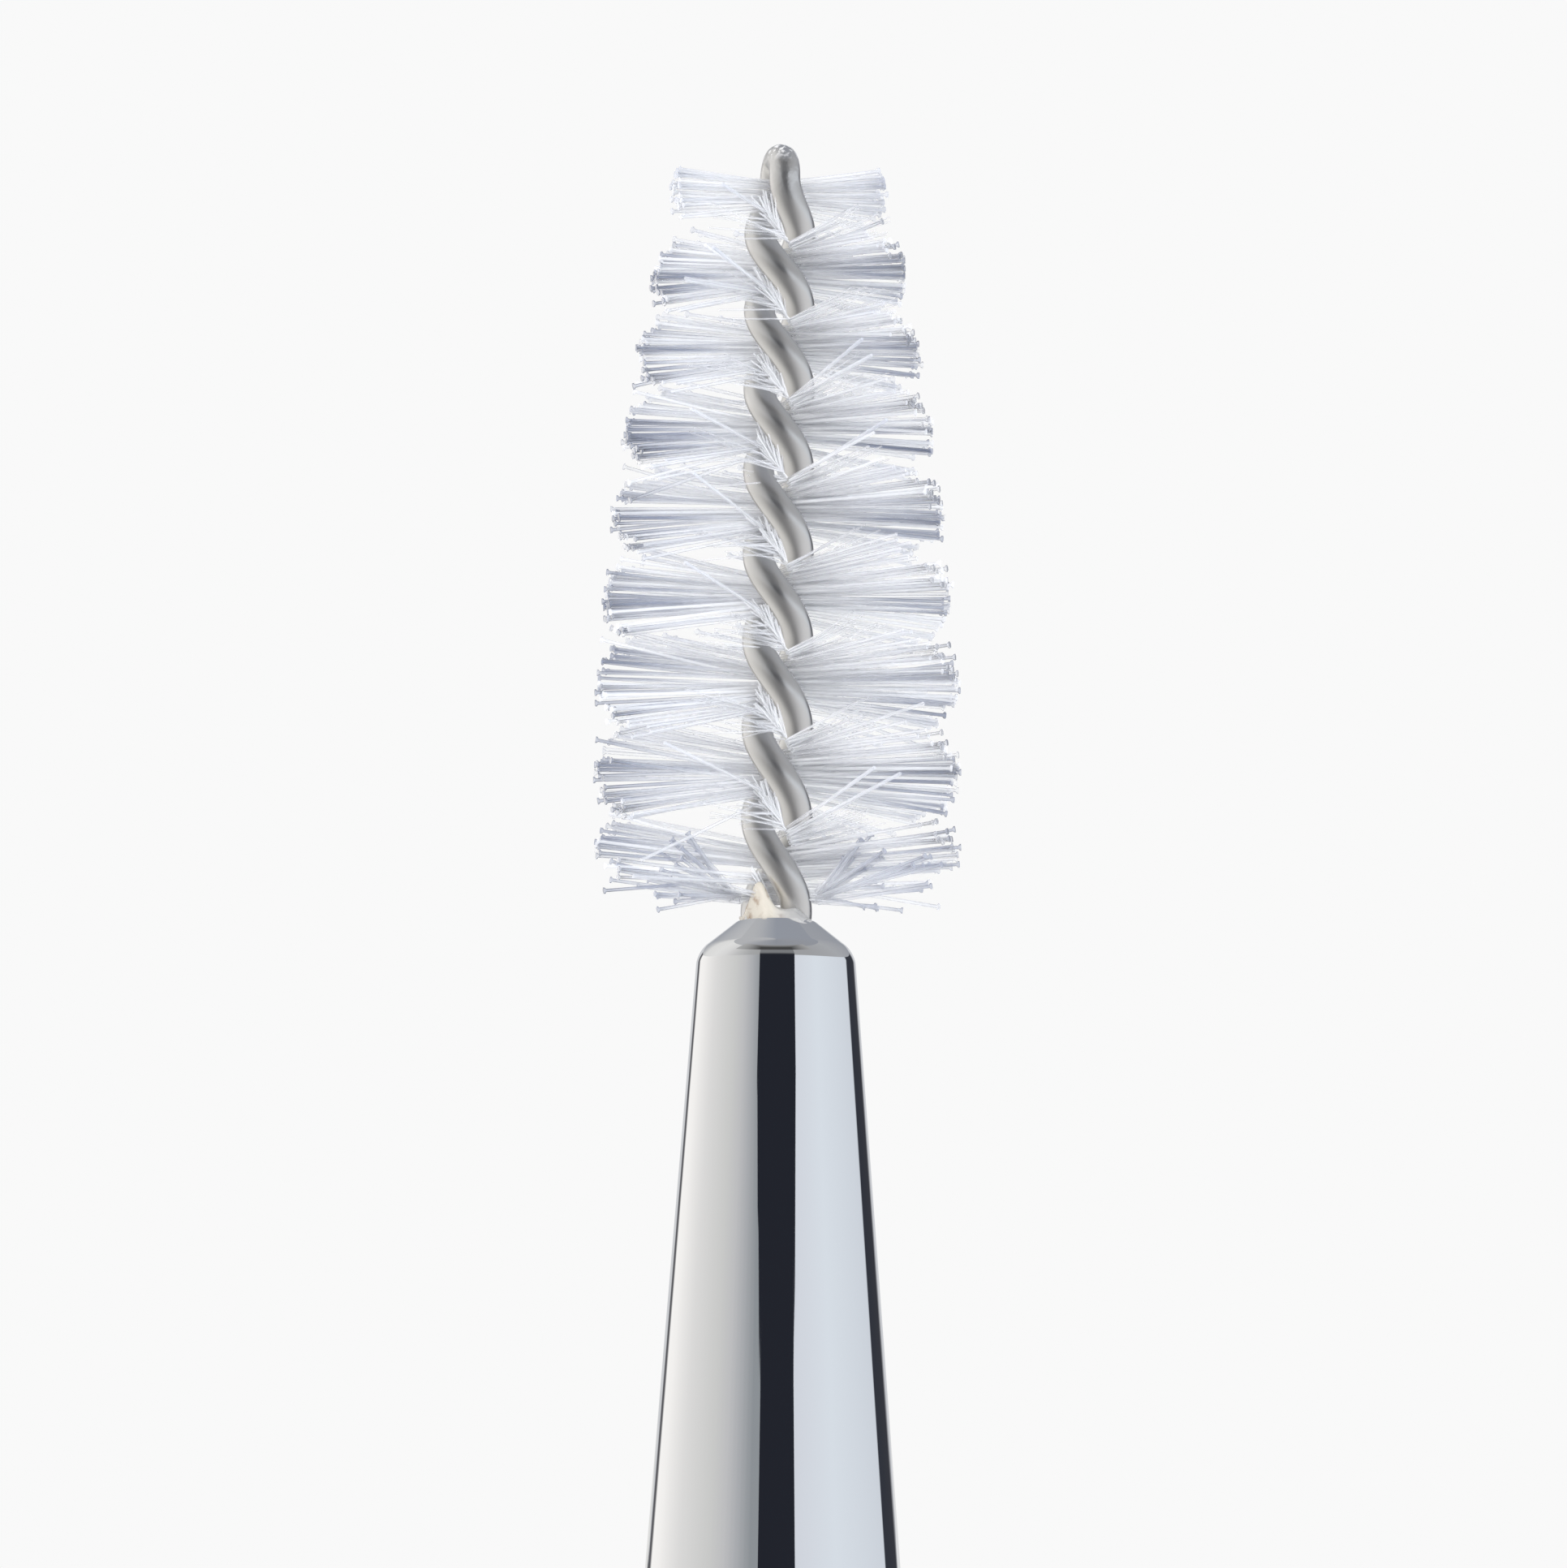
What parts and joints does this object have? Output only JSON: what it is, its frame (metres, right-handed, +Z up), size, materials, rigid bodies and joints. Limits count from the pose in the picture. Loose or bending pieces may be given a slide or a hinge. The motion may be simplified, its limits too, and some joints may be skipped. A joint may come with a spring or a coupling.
{
  "type": "eyebrow brush",
  "caption": "Slim chromed handle with a long taper, tipped by a twisted-wire brush of clear nylon filaments trimmed to a bullet shape.",
  "frame": {"origin": "centre of the handle's flat end, on which the brush stands", "axes": "+Z up the brush's axis to the tip of the wire; -Y is the side that the picture shows"},
  "size_m": [0.009, 0.009, 0.12],
  "materials": {
    "plated_metal": "bright chrome plate, polished",
    "wire_steel": "bright drawn stainless wire",
    "clear_nylon": "clear, smooth",
    "cured_adhesive": "cured, slightly glossy, amber brown"
  },
  "bodies": {
    "root": {"handle": "plated_metal", "wire_core": "wire_steel", "bristles": "clear_nylon", "adhesive": "cured_adhesive"}
  },
  "joints": []
}
